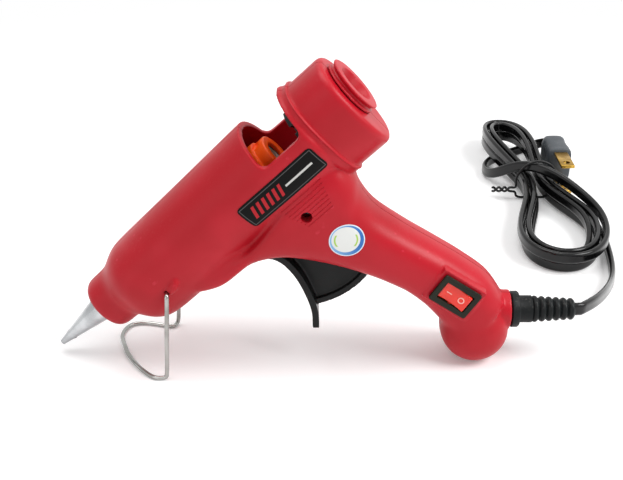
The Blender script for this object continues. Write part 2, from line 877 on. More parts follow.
class Finishes:
    """Every finish of the applicator, and the materials made from them."""

    BOOK: dict[str, Finish] = {
        "Red Casing Plastic": Moulded(
            "B90E22", "AC0A1B", "E8465E", rough=(0.36, 0.46), grain=0.35, relief=0.01, patch=26.0,
            wear=0.22, dust=0.03, specular=0.28,
        ),
        "Orange Plastic": Moulded(
            "FF5A0A", "F04C04", "FF8A3C", rough=(0.38, 0.48), wear=0.3, through=0.2,
        ),
        "Black Plastic": Moulded(
            "131414", "0D0E0E", "343636", rough=(0.3, 0.42), wear=0.5, specular=0.2,
        ),
        "Bezel Plastic": Moulded(
            "1A1D12", "13160D", "34382A", rough=(0.4, 0.5), grain=0.3, wear=0.4, specular=0.2,
        ),
        "Relief Rubber": Moulded(
            "121516", "0C0E0F", "2C3031", rough=(0.38, 0.5), grain=0.3, relief=0.02, wear=0.4,
            specular=0.16,
        ),
        "Rocker Plastic": Moulded(
            "F2301C", "EA2613", "FF7358", rough=(0.12, 0.2), grain=1.5, relief=0.004, wear=0.25,
            dust=0.02,
            coat=0.4, through=0.1,
        ),
        "Rocker Mark": Moulded("FFC9BE", "FFB9AC", "FFFFFF", rough=(0.4, 0.5), patch=3.0),
        "Lead Sheath": Moulded(
            "0B0B0C", "070708", "2A2B2C", rough=(0.14, 0.24), grain=2.2, relief=0.03, patch=30.0,
            wear=0.25,
            dust=0.04, coat=0.15, specular=0.25,
        ),
        "Plug Plastic": Moulded(
            "4A4F54", "3F4449", "8C9093", rough=(0.36, 0.46), grain=0.4, relief=0.016, wear=0.5,
        ),
        "Tie Sheath": Moulded(
            "0E0E0F", "080809", "2D2E2F", rough=(0.26, 0.36), grain=0.8, relief=0.03,
        ),
        "Silicone": Moulded("B9B2A6", "A9A295", "D8D2C8", rough=(0.45, 0.6), through=0.3),
        "Heater Film": Moulded(
            "C2791B", "A9610F", "E0A040", rough=(0.2, 0.34), grain=1.2, patch=4.0, coat=0.3,
        ),
        "Heater Ceramic": Moulded(
            "D9D3C4", "CBC3B1", "EFEAE0", rough=(0.6, 0.75), grain=0.25, relief=0.02,
        ),
        "Brown Core": Moulded("6B3A1E", "5A2E16", "8E5C3C", rough=(0.3, 0.4)),
        "Blue Core": Moulded("2A4F9B", "203F80", "5A7EC4", rough=(0.3, 0.4)),
        "Turned Aluminium": Metal(
            "C4C6C8", "A9ABAD", rough=(0.14, 0.22), spacing=0.35, relief=0.008, patch=9.0,
        ),
        "Cast Aluminium": Metal(
            "A9ABAD", "85888A", rough=(0.42, 0.6), spacing=0.6, relief=0.05, patch=3.0,
        ),
        "Bright Wire": Metal(
            "A9A9A6", "93928E", rough=(0.12, 0.2), spacing=1.2, turn=90.0, relief=0.003, patch=6.0,
        ),
        "Screw Steel": Metal("9A9C9E", "6E7072", rough=(0.22, 0.4), spacing=0.4, relief=0.006),
        "Brass": Metal("C9A14A", "9C7A34", rough=(0.2, 0.4), spacing=0.5, relief=0.006),
        "Label Plate": Printed("060606", plate_pattern),
        "Round Sticker": Printed("E4E6E3", round_pattern, rough=(0.3, 0.4), specular=0.3),
    }
    NODES: dict[str, tuple[str, Slot]] = {
        "melt_chamber": ("Cast Aluminium", Slot.CAST),
        "heater_film": ("Heater Film", Slot.FILM),
        "electrode_upper": ("Brass", Slot.BRASS),
        "electrode_lower": ("Brass", Slot.BRASS),
        "heater_element": ("Heater Ceramic", Slot.CERAMIC),
        "inlet_sleeve": ("Silicone", Slot.SILICONE),
        "sleeve_clip": ("Screw Steel", Slot.SPRING),
        "grip_bush": ("Silicone", Slot.SILICONE),
        "return_spring": ("Screw Steel", Slot.SPRING),
        "trigger_pin": ("Screw Steel", Slot.SPRING),
        "switch_terminal_load": ("Brass", Slot.BRASS),
        "switch_terminal_live": ("Brass", Slot.BRASS),
        "lead_inside": ("Lead Sheath", Slot.SHEATH),
        "lead_clamp": ("Black Plastic", Slot.BLACK),
        "core_live": ("Brown Core", Slot.BROWN),
        "core_switched": ("Brown Core", Slot.BROWN),
        "core_neutral": ("Blue Core", Slot.BLUE),
    }

    def __init__(self) -> None:
        """Makes the shared effects, and no material yet."""
        self.effects = Effects()
        self.made: dict[str, bpy.types.Material] = {}

    def material(self, name: str) -> bpy.types.Material:
        """The material of a finish, made when it is first asked for.

        Args:
            name: Name of the finish.

        Returns:
            The material.
        """
        if name not in self.made:
            material = bpy.data.materials.new(name)
            graph = emptied(material)
            shader = graph.add("BsdfPrincipled", self.BOOK[name].write(graph, self.effects))
            graph.add("OutputMaterial", {"Surface": shader.outputs[0]})
            self.made[name] = material
        return self.made[name]

    def carry_over(self) -> None:
        """Gives the solids that show as they are their finish."""
        for name, (finish, slot) in self.NODES.items():
            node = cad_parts[name]
            node.data.materials.clear()
            node.data.materials.append(self.material(finish))
            LOG.info("%s keeps its solid, in %s", name, finish)


# ---- The gun's layout and what every sub-assembly can do


@dataclass(frozen=True)
class Layout:
    """Main sizes of the gun, and the frames that its pieces are laid out in."""

    climb: float = 43.3
    nose: float = 23.4
    barrel: float = 80.9
    breech: float = 17.0
    block: float = 17.1
    drop: float = 94.7
    knob_share: float = 0.079
    knob: float = 12.0
    foot: float = 0.3
    tip: float = 0.95
    relief_end: float = 35.0
    relief_over: float = 6.2

    @property
    def rim(self) -> float:
        """Rim of the open breech."""
        return self.nose + self.barrel

    @property
    def block_face(self) -> float:
        """Front of the rear block."""
        return self.rim + self.breech

    @property
    def block_end(self) -> float:
        """Rear of the rear block."""
        return self.block_face + self.block

    @property
    def knob_at(self) -> float:
        """Middle of the knob along the barrel."""
        return self.rim + self.knob_share * self.drop

    def side(self, behind: float, below: float) -> Vector:
        """A place given as shares of the drop behind the rim and below the axis."""
        return Vector((self.rim + behind * self.drop, 0, -below * self.drop))

    def local(self, at: float, up: float, turn: float) -> Matrix:
        """A frame at a place of the gun, turned in the side view."""
        return Matrix.Translation((at, 0, up)) @ Matrix.Rotation(math.radians(turn), 4, "Y")

    @property
    def gun(self) -> Matrix:
        """From the gun's frame to the world, in millimetres.

        Returns:
            The matrix.
        """
        turn = math.radians(self.climb)
        high = self.knob_at * math.sin(turn) - self.drop * math.cos(turn)
        reach = self.knob_at * math.cos(turn) + self.drop * math.sin(turn) + self.relief_end
        start = -(reach - self.tip * math.sin(turn)) / 2
        place = Matrix.Translation((start, 0, self.knob - self.foot - high))
        return place @ Matrix.Rotation(-turn, 4, "Y")

    @property
    def relief(self) -> Matrix:
        """Frame of the strain relief, level when the gun stands."""
        knob = self.local(self.knob_at, -self.drop, self.climb)
        return knob @ Matrix.Translation((0, 0, self.relief_over))


LAYOUT = Layout()


@dataclass
class Assembly:
    """A sub-assembly that builds its pieces and dresses them in its finishes."""

    finishes: Finishes

    def show(
        self, form: Form, finish: str, slot: Slot, body: Body = Body.GUN, nodes: Sequence[str] = (),
        matrix: Optional[Matrix] = None, crease: float = 40.0,
    ) -> bpy.types.Object:
        """Puts a form in place, dresses it and hangs it on its body.

        Args:
            form: The solid, in millimetres.
            finish: Name of its finish.
            slot: The record's slot that it takes its finish from.
            body: Body that it rides on.
            nodes: Solids of the frame that it stands for.
            matrix: From the form's frame to the world in millimetres, or the gun's own.
            crease: Degrees from which an edge stays sharp.

        Returns:
            The piece.
        """
        piece = form.object
        place = LAYOUT.gun if matrix is None else matrix
        form.moved(Matrix.Scale(MM, 4) @ place)
        mesh = piece.data
        mesh.materials.clear()
        mesh.materials.append(self.finishes.material(finish))
        mesh.shade_smooth()
        mesh.set_sharp_from_angle(angle=math.radians(crease))
        if nodes:
            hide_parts(*nodes)
        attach(piece, body.value)
        LOG.info("%s: %d faces, %s, on %s", piece.name, len(mesh.polygons), finish, body.value)
        return piece


# ---- Casing


@dataclass
class Casing(Assembly):
    """The two moulded shells, their label plate, sticker and screws."""

    radius: float = 16.2
    grip: float = 12.2
    wall: float = 2.2
    parting: float = 0.3
    barrel_power: float = 2.1
    knob_side: float = 12.2
    knob_power: float = 2.6
    breech_floor: float = 3.0
    breech_corner: float = 3.2
    barrel_shares: Sequence[Row] = (
        (0.000, 0.520, 0.535, 0.530), (0.008, 0.574, 0.588, 0.580), (0.026, 0.600, 0.612, 0.605),
        (0.100, 0.605, 0.624, 0.617), (0.124, 0.623, 0.741, 0.691), (0.149, 0.673, 0.901, 0.796),
        (0.183, 0.753, 1.043, 0.907), (0.225, 0.815, 1.111, 0.970), (0.280, 0.833, 1.130, 0.988),
        (0.576, 0.877, 1.136, 0.994), (1.000, 0.944, 1.148, 1.006), (1.230, 0.963, 1.148, 0.963),
    )
    # Each rung from the barrel to the knob: front point, back point (both along and down), side and
    # squareness
    web_shares: Sequence[Row] = (
        (-0.620, 0.135, -0.330, 0.085, 0.760, 2.4),
        (-0.443, 0.202, -0.210, 0.148, 0.900, 3.2), (-0.331, 0.208, -0.002, 0.112, 0.920, 3.6),
        (-0.250, 0.244, 0.140, 0.107, 0.920, 3.8), (-0.190, 0.296, 0.193, 0.151, 0.914, 3.8),
        (-0.143, 0.362, 0.183, 0.222, 0.895, 3.4), (-0.102, 0.433, 0.155, 0.283, 0.858, 3.0),
    )
    handle_shares: Sequence[Row] = (
        (-0.060, 0.515, 0.144, 0.366, 1.074, 2.8), (-0.020, 0.609, 0.168, 0.495, 1.016, 2.7),
        (0.010, 0.709, 0.205, 0.632, 0.992, 2.6), (0.018, 0.795, 0.237, 0.760, 0.984, 2.6),
        (0.013, 0.886, 0.255, 0.873, 0.984, 2.6), (-0.010, 0.945, 0.238, 0.985, 0.967, 2.6),
    )
    block: Row = (13.6, 20.6, 13.9, 2.4)  # up, down, side and squareness of the rear block
    lip: float = 0.7
    lip_length: float = 3.8
    screw_shares: Sequence[tuple[str, float, float, int]] = (
        ("screw_web", -0.015, 0.193, -1), ("screw_barrel", -0.299, 0.150, 1),
        ("screw_block", 0.277, 0.130, 1),
        ("screw_handle", 0.080, 0.625, 1), ("screw_knob", 0.028, 1.030, 1),
    )
    hollow_start: float = 1.0  # rung from which the web is hollow
    well: float = 1.9
    seat: float = 7.6
    stand_at: tuple[float, float] = (50.2, -6.7)
    pivot: tuple[float, float] = (93.1, -23.6)
    arm_sweep: float = 10.0
    arm_disc: float = 4.3
    arm_room: tuple[float, float] = (7.8, 10.5)
    boss: float = 3.8
    cradles: Sequence[Row] = ((26.9, 6.5), (63.7, 7.3))  # place and seat of each rib under the chamber
    cradle: float = 2.0
    pivot_boss: Row = (3.5, 10.4)  # radius and inner end
    post: Row = (1.3, 3.0, 12.4)  # radius, distance before the block and drop
    channel: Row = (85.3, 100.9, 11.2, 1.9, 3.4)  # ends, inner side, lower and upper edge
    swing: Row = (30.5, 7.2)  # radius and half width of the trigger's slot
    swing_box: Row = (-22.5, 28.4, -37.1, -4.5)  # what of it opens in the belly
    land: Row = (8.8, 12.2, 9.0, 6.4)  # half length, face, back and half height
    nose_bore: Row = (4.85, 3.2)  # radius and depth, as for the next two
    guide_bore: Row = (5.7, 3.0)
    entry_bore: Row = (7.7, 3.2)
    relief_boss: Row = (6.9, 4.3, 12.0)  # radius and ends, as for the next two
    clamp_bore: Row = (6.2, 4.3, 8.6)
    neck_bore: Row = (4.5, 6.0, 13.0)
    shank: Row = (1.45, 4.4)  # radius and reach past the parting
    pin_bore: Row = (1.8, 13.2)
    stand_bore: float = 1.05
    switch_bore: Row = (6.8, 2.9, 4.5)  # half length, inner end and half height
    bulge: Row = (3.3, 1.5, 1.7)  # half sizes of the bulge over each stand hole
    bulge_at: Row = (3.2, 0.955, 0.4, -20.0)  # behind the hole, share of the side, over it, turn
    screw_size: Row = (1.1, 1.62, 1.5, 0.5, 4.1)  # shank, head, its height, its rounding, reach
    cross: Row = (1.05, 0.26, 0.8)  # half length, half width and depth of the cross
    clamp_high: float = 4.9
    sheet: tuple[float, float] = (-0.16, 0.25)  # back and face of what is stuck on
    label: Row = (104.5, -5.35, 16.0, 4.65, 1.5)  # middle, half sizes and corner of the label plate
    sticker: Row = (106.4, -33.6, 5.9)  # middle and radius of the round sticker
    groove: Row = (98.0, 115.0, -11.7, 1.32, 0.22)  # grip lines: ends, first one, spacing, depth
    grooves: int = 8

    @staticmethod
    def ring(
        at: float, up: float, down: float, side: float, power: float, sides: int = 96
    ) -> list[Vector]:
        """A section across the barrel.

        Args:
            at: Place along the barrel.
            up: Reach above the axis.
            down: Reach below the axis.
            side: Reach to either side.
            power: Squareness, 2 for an ellipse.
            sides: Points round the section.

        Returns:
            The points of the section.
        """
        points = []
        for t in turns(sides):
            out, high = squared(math.cos(t), power), squared(math.sin(t), power)
            points.append(Vector((at, side * out, high * (up if high > 0 else down))))
        return points

    def barrel_form(self, inset: float) -> Form:
        """The barrel, drawn in by an inset.

        Args:
            inset: How far it is drawn in.

        Returns:
            The solid.
        """
        rings = []
        steps = 90
        for i in range(steps + 1):
            share = self.barrel_shares[-1][0] * (i / steps) ** 1.5
            up, down, side = [value * self.radius - inset for value in eased(self.barrel_shares, share)]
            at = LAYOUT.nose + inset + share * (LAYOUT.barrel - inset)
            rings.append(self.ring(at, up, down, side, self.barrel_power))
        return loft("barrel", rings)

    def handle_form(self, inset: float) -> Form:
        """The web and the handle, drawn in by an inset.

        Args:
            inset: How far it is drawn in.

        Returns:
            The solid.
        """
        rows = []
        for shares, half in ((self.web_shares, self.radius), (self.handle_shares, self.grip)):
            for fx, fz, bx, bz, side, power in shares:
                front, back = LAYOUT.side(fx, fz), LAYOUT.side(bx, bz)
                rows.append((len(rows), front.x, front.z, back.x, back.z, side * half, power))
        rings = []
        steps = 96
        start = self.hollow_start if inset else 0.0
        for i in range(steps + 1):
            fx, fz, bx, bz, side, power = eased(rows, start + (len(rows) - 1 - start) * i / steps)
            front, back = Vector((fx, 0, fz)), Vector((bx, 0, bz))
            middle, reach = (front + back) / 2, (back - front) / 2
            reach = reach.normalized() * (reach.length - inset)
            points = []
            for t in turns(72):
                point = middle + reach * squared(math.sin(t), power)
                point.y = (side - inset) * squared(math.cos(t), power)
                points.append(point)
            rings.append(points)
        return loft("handle", rings)

    def knob_form(self, inset: float) -> Form:
        """The round knob that ends the handle, drawn in by an inset.

        Args:
            inset: How far it is drawn in.

        Returns:
            The solid.
        """
        rows = []
        steps = 36
        for i in range(steps + 1):
            angle = math.pi * (i / steps - 0.5)
            round_share, flat_share = [squared(f(angle), self.knob_power) for f in (math.cos, math.sin)]
            radius = 0.0 if i in (0, steps) else (LAYOUT.knob - inset) * round_share
            rows.append((radius, (self.knob_side - inset) * flat_share))
        return lathe("knob", rows, 96).moved(crosswise(LAYOUT.knob_at, -LAYOUT.drop))

    def block_form(self, inset: float) -> Form:
        """The rear block with its lip and its rounded rear edge, or its hollow.

        Args:
            inset: 0 for the outside, or how far the hollow is drawn in.

        Returns:
            The solid.
        """
        up, down, side, power = self.block
        face, end, lip = LAYOUT.block_face, LAYOUT.block_end, self.lip
        if inset:
            stations = [(face + self.wall, -inset), (end - inset, -inset)]
        else:
            stations = [(face, 0.0), (face + 0.25, 0.45), (face + lip, lip)]
            stations += [(face + self.lip_length - lip, lip), (face + self.lip_length, 0.12)]
            stations += [(face + self.lip_length + 0.6, 0.0)]
            round_end = 2.2
            for k in range(9):
                t = math.pi / 2 * k / 8
                stations.append((end - round_end * (1 - math.sin(t)), -1.6 * (1 - math.cos(t))))
        return loft("block", [
            self.ring(at, up + grow, down + grow, side + grow, power) for at, grow in stations
        ])

    def dimple(self) -> Form:
        """The small moulded bulge over each hole of the wire stand.

        Returns:
            Both bulges as one solid.
        """
        behind, share, above, turn = self.bulge_at
        angles = [math.pi * (k / 12 - 0.5) for k in range(1, 12)]
        rows = [(0.0, -1.0), *[(math.cos(a), math.sin(a)) for a in angles], (0.0, 1.0)]
        size = Matrix.Rotation(math.radians(turn), 4, "Y") @ Matrix.Diagonal((*self.bulge, 1.0))
        at, up = self.stand_at
        bulges = []
        for side in (-1, 1):
            place = Matrix.Translation((at + behind, side * self.radius * share, up + above))
            bulges.append(lathe("bulge", rows, 32).moved(place @ size))
        return united(bulges)

    def places(self) -> list[tuple[str, float, float, int]]:
        """Name, place along and up, and side of each screw.

        Returns:
            A row for each screw.
        """
        return [
            (name, LAYOUT.rim + at * LAYOUT.drop, -down * LAYOUT.drop, side)
            for name, at, down, side in self.screw_shares
        ]

    def innards(self) -> Form:
        """Bosses, ribs, posts and channels inside the shells.

        Returns:
            One solid, not yet trimmed to the shells.
        """
        far, edge = self.radius, self.parting / 2
        forms = [rod("boss", self.boss, (-far, far), at, up) for _, at, up, _ in self.places()]
        for at, hole in self.cradles:
            rib = cuboid("rib", (at, at + self.cradle), (-far, far), (-2 * far, far))
            forms.append(rib.cut(core("seat", hole, at - 1, at + self.cradle + 1)))
        pivot, inner = self.pivot_boss
        post, ahead, drop = self.post
        start, end, beside, low, high = self.channel
        for side in (-1, 1):
            forms.append(rod("pivot", pivot, (side * inner, side * far), *self.pivot))
            forms.append(rod("post", post, (side * edge, side * far), LAYOUT.block_face - ahead, -drop))
            for above in (-1, 1):
                edges = (above * low, above * high)
                forms.append(cuboid("channel", (start, end), (side * beside, side * far), edges))
        return united(forms)

    def arm_ways(self) -> list[Form]:
        """Room for the trigger's arms beside the carriage.

        Returns:
            Solids to cut away.
        """
        (at, up), sweep_half, disc_radius = self.pivot, self.arm_sweep, self.arm_disc
        ways = []
        for side in (-1, 1):
            across = (side * self.arm_room[0], side * self.arm_room[1])
            ways.append(cuboid("way", (at - sweep_half, at + sweep_half), across, (up, -1.6)))
            ways.append(rod("way", disc_radius, across, at, up))
        return ways

    def trigger_slot(self) -> Form:
        """The slot in the belly that the trigger swings through.

        Returns:
            A solid to cut away.
        """
        frame_at = LAYOUT.local(*self.pivot, LAYOUT.climb)
        radius, half = self.swing
        start, end, low, high = self.swing_box
        swing = rod("swing", radius, (-half, half), 0, 0, 96)
        below = cuboid("below", (start, end), (-half, half), (low, high))
        return swing.joined(below, Join.COMMON).moved(frame_at)

    def shell(self) -> Form:
        """Both shells as one solid, before they are parted.

        Returns:
            The solid.
        """
        skin = united([self.barrel_form(0), self.handle_form(0), self.knob_form(0)]).softened(0.6, 26)
        switch = LAYOUT.local(*SwitchUnit.place(), SwitchUnit.turn)
        long, face, back, high = self.land
        land = cuboid("land", (-long, long), (-face, -back), (-high, high)).moved(switch)
        outside = united([skin, self.block_form(0), land, self.dimple()])
        parts = (self.barrel_form, self.handle_form, self.knob_form, self.block_form)
        inside = united([part(self.wall) for part in parts])
        ribs = self.innards().joined(outside.copied("limit"), Join.COMMON)
        rim, face, end, relief = LAYOUT.rim, LAYOUT.block_face, LAYOUT.block_end, LAYOUT.relief
        low, top = self.breech_floor, 60.0
        breech = rounded([(rim, low), (face, low), (face, top), (rim, top)], self.breech_corner)
        whole = outside.cut(inside, self.trigger_slot()).joined(ribs)
        whole.joined(core("boss", *self.relief_boss).moved(relief))
        (nose, nose_deep), (guide, guide_deep) = self.nose_bore, self.guide_bore
        entry, entry_deep = self.entry_bore
        whole.cut(
            plate("breech", breech, -60, 60),
            core("nose", nose, LAYOUT.nose - 1, LAYOUT.nose + nose_deep),
            core("guide", guide, face - 1, face + guide_deep),
            core("entry", entry, end - entry_deep, end + 1),
            core("clamp", *self.clamp_bore).moved(relief),
            core("neck", *self.neck_bore).moved(relief),
            *self.arm_ways(),
        )
        whole.softened(0.42, 3)
        knob = LAYOUT.local(LAYOUT.knob_at, -LAYOUT.drop, LAYOUT.climb)
        below = cuboid("surface", (-90, 90), (-90, 90), (-90, LAYOUT.foot - LAYOUT.knob)).moved(knob)
        whole.joined(self.ridge())
        return whole.cut(below, *self.small_holes(), *self.grip_lines(whole.skin()))

    def ridge(self) -> Form:
        """The fine raised line round the block behind its lip.

        Returns:
            The solid.
        """
        up, down, side, power = self.block
        middle, lip = LAYOUT.block_face + self.lip_length - 0.55, self.lip

        def band(stations: Sequence[Row]) -> Form:
            """A part of the block's form.

            Args:
                stations: Places along the block, and how far the form grows there.

            Returns:
                The solid.
            """
            return loft("ridge", [
                self.ring(middle + at, up + grow, down + grow, side + grow, power)
                for at, grow in stations
            ])

        crest = ((-0.5, -0.25), (-0.25, 0.1), (0.0, 0.22), (0.25, 0.1), (0.5, -0.25))
        line = band([(at, lip + grow) for at, grow in crest])
        return line.cut(band([(at, lip - 0.6) for at in (-2.0, 2.0)]))

    def small_holes(self) -> list[Form]:
        """Holes for the screws, the trigger's pin, the wire stand and the switch.

        Returns:
            Solids to cut away.
        """
        holes = []
        shank, past = self.shank
        for _, at, up, side in self.places():
            holes.append(rod("well", self.well, (side * self.seat, side * 40), at, up, 32))
            holes.append(rod("shank", shank, (side * (self.seat + 1), -side * past), at, up, 24))
        pin, pin_end = self.pin_bore
        holes.append(rod("pin", pin, (-pin_end, pin_end), *self.pivot, 32))
        holes.append(rod("stand", self.stand_bore, (-40, 40), *self.stand_at, 32))
        switch = LAYOUT.local(*SwitchUnit.place(), SwitchUnit.turn)
        long, inner, high = self.switch_bore
        holes.append(cuboid("switch", (-long, long), (-40, -inner), (-high, high)).moved(switch))
        return holes

    def grip_lines(self, skin: BVHTree) -> list[Form]:
        """Fine sunk lines for the fingers, following the side of both shells.

        Args:
            skin: Surface of the shells.

        Returns:
            Solids to cut away.
        """
        start, end, first, spacing, deep = self.groove
        lines = []
        for side in (-1, 1):
            for k in range(self.grooves):
                up = first - spacing * k
                line = []
                for i in range(13):
                    at = start + 0.45 * k + (end - start - 0.9 * k) * i / 12
                    line.append(self.touch(skin, at, up, side))
                lines.append(sweep("line", line, disc(deep, 8)))
        return lines

    @staticmethod
    def touch(skin: BVHTree, at: float, up: float, side: int) -> Vector:
        """The place on a surface that one meets from the side."""
        found = skin.ray_cast(Vector((at, side * 60, up)), Vector((0, -side, 0)))[0]
        return found if found is not None else Vector((at, 0, up))

    def stuck_on(
        self, name: str, skin: BVHTree, middle: Row, half: Row, corner: float, turn: float
    ) -> Form:
        """A thin plate with round corners that follows the side of the left shell.

        Args:
            name: Name of the form.
            skin: Surface of the shell.
            middle: Middle along the barrel and up.
            half: Half its length and height.
            corner: Radius of its corners.
            turn: Degrees from the barrel to its own level.

        Returns:
            The plate, with its places from the middle as a map.
        """
        columns, rows = 40, 16
        along = Vector((math.cos(math.radians(turn)), math.sin(math.radians(turn))))
        above = Vector((-along.y, along.x))
        points, places, faces = [], [], []
        for depth in self.sheet:
            for j in range(rows + 1):
                for i in range(columns + 1):
                    x, y = half[0] * (2 * i / columns - 1), half[1] * (2 * j / rows - 1)
                    dx, dy = abs(x) - (half[0] - corner), abs(y) - (half[1] - corner)
                    if dx > 0 and dy > 0:
                        shrink = max(dx, dy) / math.hypot(dx, dy)
                        x = math.copysign(half[0] - corner + dx * shrink, x)
                        y = math.copysign(half[1] - corner + dy * shrink, y)
                    at, up = Vector(middle) + along * x + above * y
                    near = self.touch(skin, at, up, -1)
                    points.append(near + Vector((0, depth, 0)))
                    places.append((x, y))
        wide = columns + 1
        layer = wide * (rows + 1)
        for j in range(rows):
            for i in range(columns):
                a = j * wide + i
                faces.append((a, a + 1, a + 1 + wide, a + wide))
                faces.append((layer + a, layer + a + wide, layer + a + 1 + wide, layer + a + 1))
        edge = [*range(wide), *[j * wide + columns for j in range(1, rows + 1)]]
        edge += [rows * wide + i for i in range(columns - 1, -1, -1)]
        edge += [j * wide for j in range(rows - 1, 0, -1)]
        for a, b in zip(edge, edge[1:] + edge[:1]):
            faces.append((a, layer + a, layer + b, b))
        form = Form(name, points, faces)
        mesh = form.object.data
        grid = mesh.uv_layers.new(name="place")
        for loop in mesh.loops:
            co = mesh.vertices[loop.vertex_index].co
            flat = Vector((co.x, co.z)) - Vector(middle)
            grid.data[loop.index].uv = (flat.dot(along), flat.dot(above))
        return form

    def screw(self, name: str, at: float, up: float, side: int) -> Form:
        """One screw with a cross in its head.

        Args:
            name: Name of the form.
            at: Place along the barrel.
            up: Place above the axis.
            side: Side of its head on Y, 1 or -1.

        Returns:
            The solid.
        """
        thin, wide, high, corner, reach = self.screw_size
        under, top, end = side * (self.seat + FIT), side * (self.seat + FIT + high), -side * reach
        rows = [(0, end), (thin, end), (thin, under), (wide, under), (wide, top - side * corner)]
        rows += [(thin, top), (0, top)]
        body = lathe(name, rows, 40).moved(crosswise(at, up))
        long, half, depth = self.cross
        deep = (top - side * depth, top + side)
        for x, z in ((long, half), (half, long)):
            body.cut(cuboid("slot", (at - x, at + x), deep, (up - z, up + z)))
        return body

    def build(self) -> None:
        """Builds the shells and what is stuck and screwed on them."""
        whole = self.shell()
        skin = whole.skin()
        for name, side in (("left_casing", -1), ("right_casing", 1)):
            half = cuboid("half", (-300, 300), (side * self.parting / 2, side * 300), (-300, 300))
            form = whole.copied(name).joined(half, Join.COMMON)
            shell = name.replace("casing", "shell")
            self.show(form, "Red Casing Plastic", Slot.SHELL, nodes=(shell,), crease=50)
        whole.drop()
        at, up, half, high, corner = self.label
        plate_form = self.stuck_on("label_plate", skin, (at, up), (half, high), corner, 0.0)
        self.show(plate_form, "Label Plate", Slot.BLACK)
        at, up, radius = self.sticker
        half = (radius, radius)
        round_form = self.stuck_on("round_sticker", skin, (at, up), half, radius, -LAYOUT.climb)
        self.show(round_form, "Round Sticker", Slot.PLUG)
        for name, at, up, side in self.places():
            form = self.screw(f"{name}_cross", at, up, side)
            self.show(form, "Screw Steel", Slot.SPRING, nodes=(name,))
        rows = [(0, 4.8), (0.9, 4.8), (0.9, -3.5), (1.9, -3.5), (1.9, -4.4), (1.4, -4.7), (0, -4.7)]
        for name, side in (("lead_clamp_screw_low", -1), ("lead_clamp_screw_high", 1)):
            high = side * self.clamp_high
            form = lathe(f"{name}_cross", rows, 32).moved(crosswise(2.0, high))
            form.cut(cuboid("slot", (0.8, 3.2), (-5.2, -4.1), (high - 0.22, high + 0.22)))
            self.show(form.moved(LAYOUT.relief), "Screw Steel", Slot.SPRING, nodes=(name,))


# ---- Hot end, feed and entry


@dataclass
class HotEnd(Assembly):
    """The turned nozzle; the chamber and heater behind it keep their solids."""

    tip: float = 0.95
    base: float = 4.55
    cone: float = 20.5
    collar: float = 26.3
    spigot: float = 3.0
    seat: float = 6.4
    pit: Row = (5.6, -1.02, -1.62)

    def build(self) -> None:
        """Builds the nozzle with its turned steps and its rounded tip."""
        end = self.collar + self.seat
        rows = [(0.75, 0.25), (0.82, 0.06), (0.9, 0.0), (self.tip + 0.02, 0.05), (self.tip + 0.06, 0.3)]
        steps = 14
        lip, foot = self.tip + 0.06, 0.3
        for k in range(1, steps + 1):
            t = k / steps
            rows.append((lip + (self.base - self.tip - 0.06) * t, foot + (self.cone - foot) * t))
        rows += [(self.base, self.collar), (self.spigot, self.collar), (self.spigot, end)]
        rows += [(2.0, end), (2.0, 5.0), (0.75, 1.6)]
        nozzle = lathe("nozzle_turned", rows, 96)
        ball = lathe("pit", [(0, -0.45), (0.4, -0.2), (0.45, 0), (0.4, 0.2), (0, 0.45)], 16)
        nozzle.cut(ball.moved(Matrix.Translation(self.pit)))
        self.show(nozzle, "Turned Aluminium", Slot.NOZZLE, nodes=("nozzle",), crease=30)


